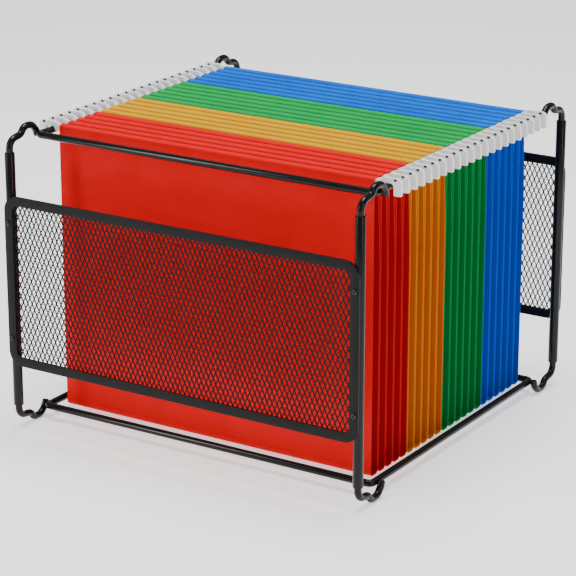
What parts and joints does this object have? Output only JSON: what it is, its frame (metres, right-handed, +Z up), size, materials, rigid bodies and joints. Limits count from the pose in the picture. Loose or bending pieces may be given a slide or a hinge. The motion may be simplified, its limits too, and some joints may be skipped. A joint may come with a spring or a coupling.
{
  "type": "hanging file box",
  "caption": "Open wire box with mesh panels at front and back, with hanging folders that hook over its side rails and lift out.",
  "frame": {"origin": "on the floor under the middle of the box", "axes": "+X to the right as seen from the front panel, +Y from the front panel to the rear panel, +Z up"},
  "size_m": [0.3426, 0.347, 0.2581],
  "materials": {
    "black_coat": "gloss",
    "black_mesh": "satin",
    "black_screw": "satin",
    "red_card": "matte",
    "yellow_card": "matte",
    "green_card": "matte",
    "blue_card": "matte",
    "white_plastic": "satin"
  },
  "bodies": {
    "box": {"top_ring": "black_coat", "bottom_ring": "black_coat", "post_front_left": "black_coat", "post_front_right": "black_coat", "post_rear_left": "black_coat", "post_rear_right": "black_coat", "top_loops": "black_coat", "foot_loops": "black_coat", "front_panel_frame": "black_coat", "front_panel_mesh": "black_mesh", "front_panel_screws": "black_screw", "rear_panel_frame": "black_coat", "rear_panel_mesh": "black_mesh", "rear_panel_screws": "black_screw"},
    "folder_01": {"folder_01_card": "red_card", "folder_01_hangers": "white_plastic"},
    "folder_02": {"folder_02_card": "red_card", "folder_02_hangers": "white_plastic"},
    "folder_03": {"folder_03_card": "red_card", "folder_03_hangers": "white_plastic"},
    "folder_04": {"folder_04_card": "red_card", "folder_04_hangers": "white_plastic"},
    "folder_05": {"folder_05_card": "red_card", "folder_05_hangers": "white_plastic"},
    "folder_06": {"folder_06_card": "yellow_card", "folder_06_hangers": "white_plastic"},
    "folder_07": {"folder_07_card": "yellow_card", "folder_07_hangers": "white_plastic"},
    "folder_08": {"folder_08_card": "yellow_card", "folder_08_hangers": "white_plastic"},
    "folder_09": {"folder_09_card": "yellow_card", "folder_09_hangers": "white_plastic"},
    "folder_10": {"folder_10_card": "yellow_card", "folder_10_hangers": "white_plastic"},
    "folder_11": {"folder_11_card": "green_card", "folder_11_hangers": "white_plastic"},
    "folder_12": {"folder_12_card": "green_card", "folder_12_hangers": "white_plastic"},
    "folder_13": {"folder_13_card": "green_card", "folder_13_hangers": "white_plastic"},
    "folder_14": {"folder_14_card": "green_card", "folder_14_hangers": "white_plastic"},
    "folder_15": {"folder_15_card": "green_card", "folder_15_hangers": "white_plastic"},
    "folder_16": {"folder_16_card": "green_card", "folder_16_hangers": "white_plastic"},
    "folder_17": {"folder_17_card": "blue_card", "folder_17_hangers": "white_plastic"},
    "folder_18": {"folder_18_card": "blue_card", "folder_18_hangers": "white_plastic"},
    "folder_19": {"folder_19_card": "blue_card", "folder_19_hangers": "white_plastic"},
    "folder_20": {"folder_20_card": "blue_card", "folder_20_hangers": "white_plastic"},
    "folder_21": {"folder_21_card": "blue_card", "folder_21_hangers": "white_plastic"},
    "folder_22": {"folder_22_card": "blue_card", "folder_22_hangers": "white_plastic"}
  },
  "joints": [
    {"name": "folder_01_lift", "type": "slide", "parent": "box", "child": "folder_01", "axis": [0, 0, 1], "range_m": [0, 0.26]},
    {"name": "folder_02_lift", "type": "slide", "parent": "box", "child": "folder_02", "axis": [0, 0, 1], "range_m": [0, 0.26]},
    {"name": "folder_03_lift", "type": "slide", "parent": "box", "child": "folder_03", "axis": [0, 0, 1], "range_m": [0, 0.26]},
    {"name": "folder_04_lift", "type": "slide", "parent": "box", "child": "folder_04", "axis": [0, 0, 1], "range_m": [0, 0.26]},
    {"name": "folder_05_lift", "type": "slide", "parent": "box", "child": "folder_05", "axis": [0, 0, 1], "range_m": [0, 0.26]},
    {"name": "folder_06_lift", "type": "slide", "parent": "box", "child": "folder_06", "axis": [0, 0, 1], "range_m": [0, 0.26]},
    {"name": "folder_07_lift", "type": "slide", "parent": "box", "child": "folder_07", "axis": [0, 0, 1], "range_m": [0, 0.26]},
    {"name": "folder_08_lift", "type": "slide", "parent": "box", "child": "folder_08", "axis": [0, 0, 1], "range_m": [0, 0.26]},
    {"name": "folder_09_lift", "type": "slide", "parent": "box", "child": "folder_09", "axis": [0, 0, 1], "range_m": [0, 0.26]},
    {"name": "folder_10_lift", "type": "slide", "parent": "box", "child": "folder_10", "axis": [0, 0, 1], "range_m": [0, 0.26]},
    {"name": "folder_11_lift", "type": "slide", "parent": "box", "child": "folder_11", "axis": [0, 0, 1], "range_m": [0, 0.26]},
    {"name": "folder_12_lift", "type": "slide", "parent": "box", "child": "folder_12", "axis": [0, 0, 1], "range_m": [0, 0.26]},
    {"name": "folder_13_lift", "type": "slide", "parent": "box", "child": "folder_13", "axis": [0, 0, 1], "range_m": [0, 0.26]},
    {"name": "folder_14_lift", "type": "slide", "parent": "box", "child": "folder_14", "axis": [0, 0, 1], "range_m": [0, 0.26]},
    {"name": "folder_15_lift", "type": "slide", "parent": "box", "child": "folder_15", "axis": [0, 0, 1], "range_m": [0, 0.26]},
    {"name": "folder_16_lift", "type": "slide", "parent": "box", "child": "folder_16", "axis": [0, 0, 1], "range_m": [0, 0.26]},
    {"name": "folder_17_lift", "type": "slide", "parent": "box", "child": "folder_17", "axis": [0, 0, 1], "range_m": [0, 0.26]},
    {"name": "folder_18_lift", "type": "slide", "parent": "box", "child": "folder_18", "axis": [0, 0, 1], "range_m": [0, 0.26]},
    {"name": "folder_19_lift", "type": "slide", "parent": "box", "child": "folder_19", "axis": [0, 0, 1], "range_m": [0, 0.26]},
    {"name": "folder_20_lift", "type": "slide", "parent": "box", "child": "folder_20", "axis": [0, 0, 1], "range_m": [0, 0.26]},
    {"name": "folder_21_lift", "type": "slide", "parent": "box", "child": "folder_21", "axis": [0, 0, 1], "range_m": [0, 0.26]},
    {"name": "folder_22_lift", "type": "slide", "parent": "box", "child": "folder_22", "axis": [0, 0, 1], "range_m": [0, 0.26]}
  ]
}
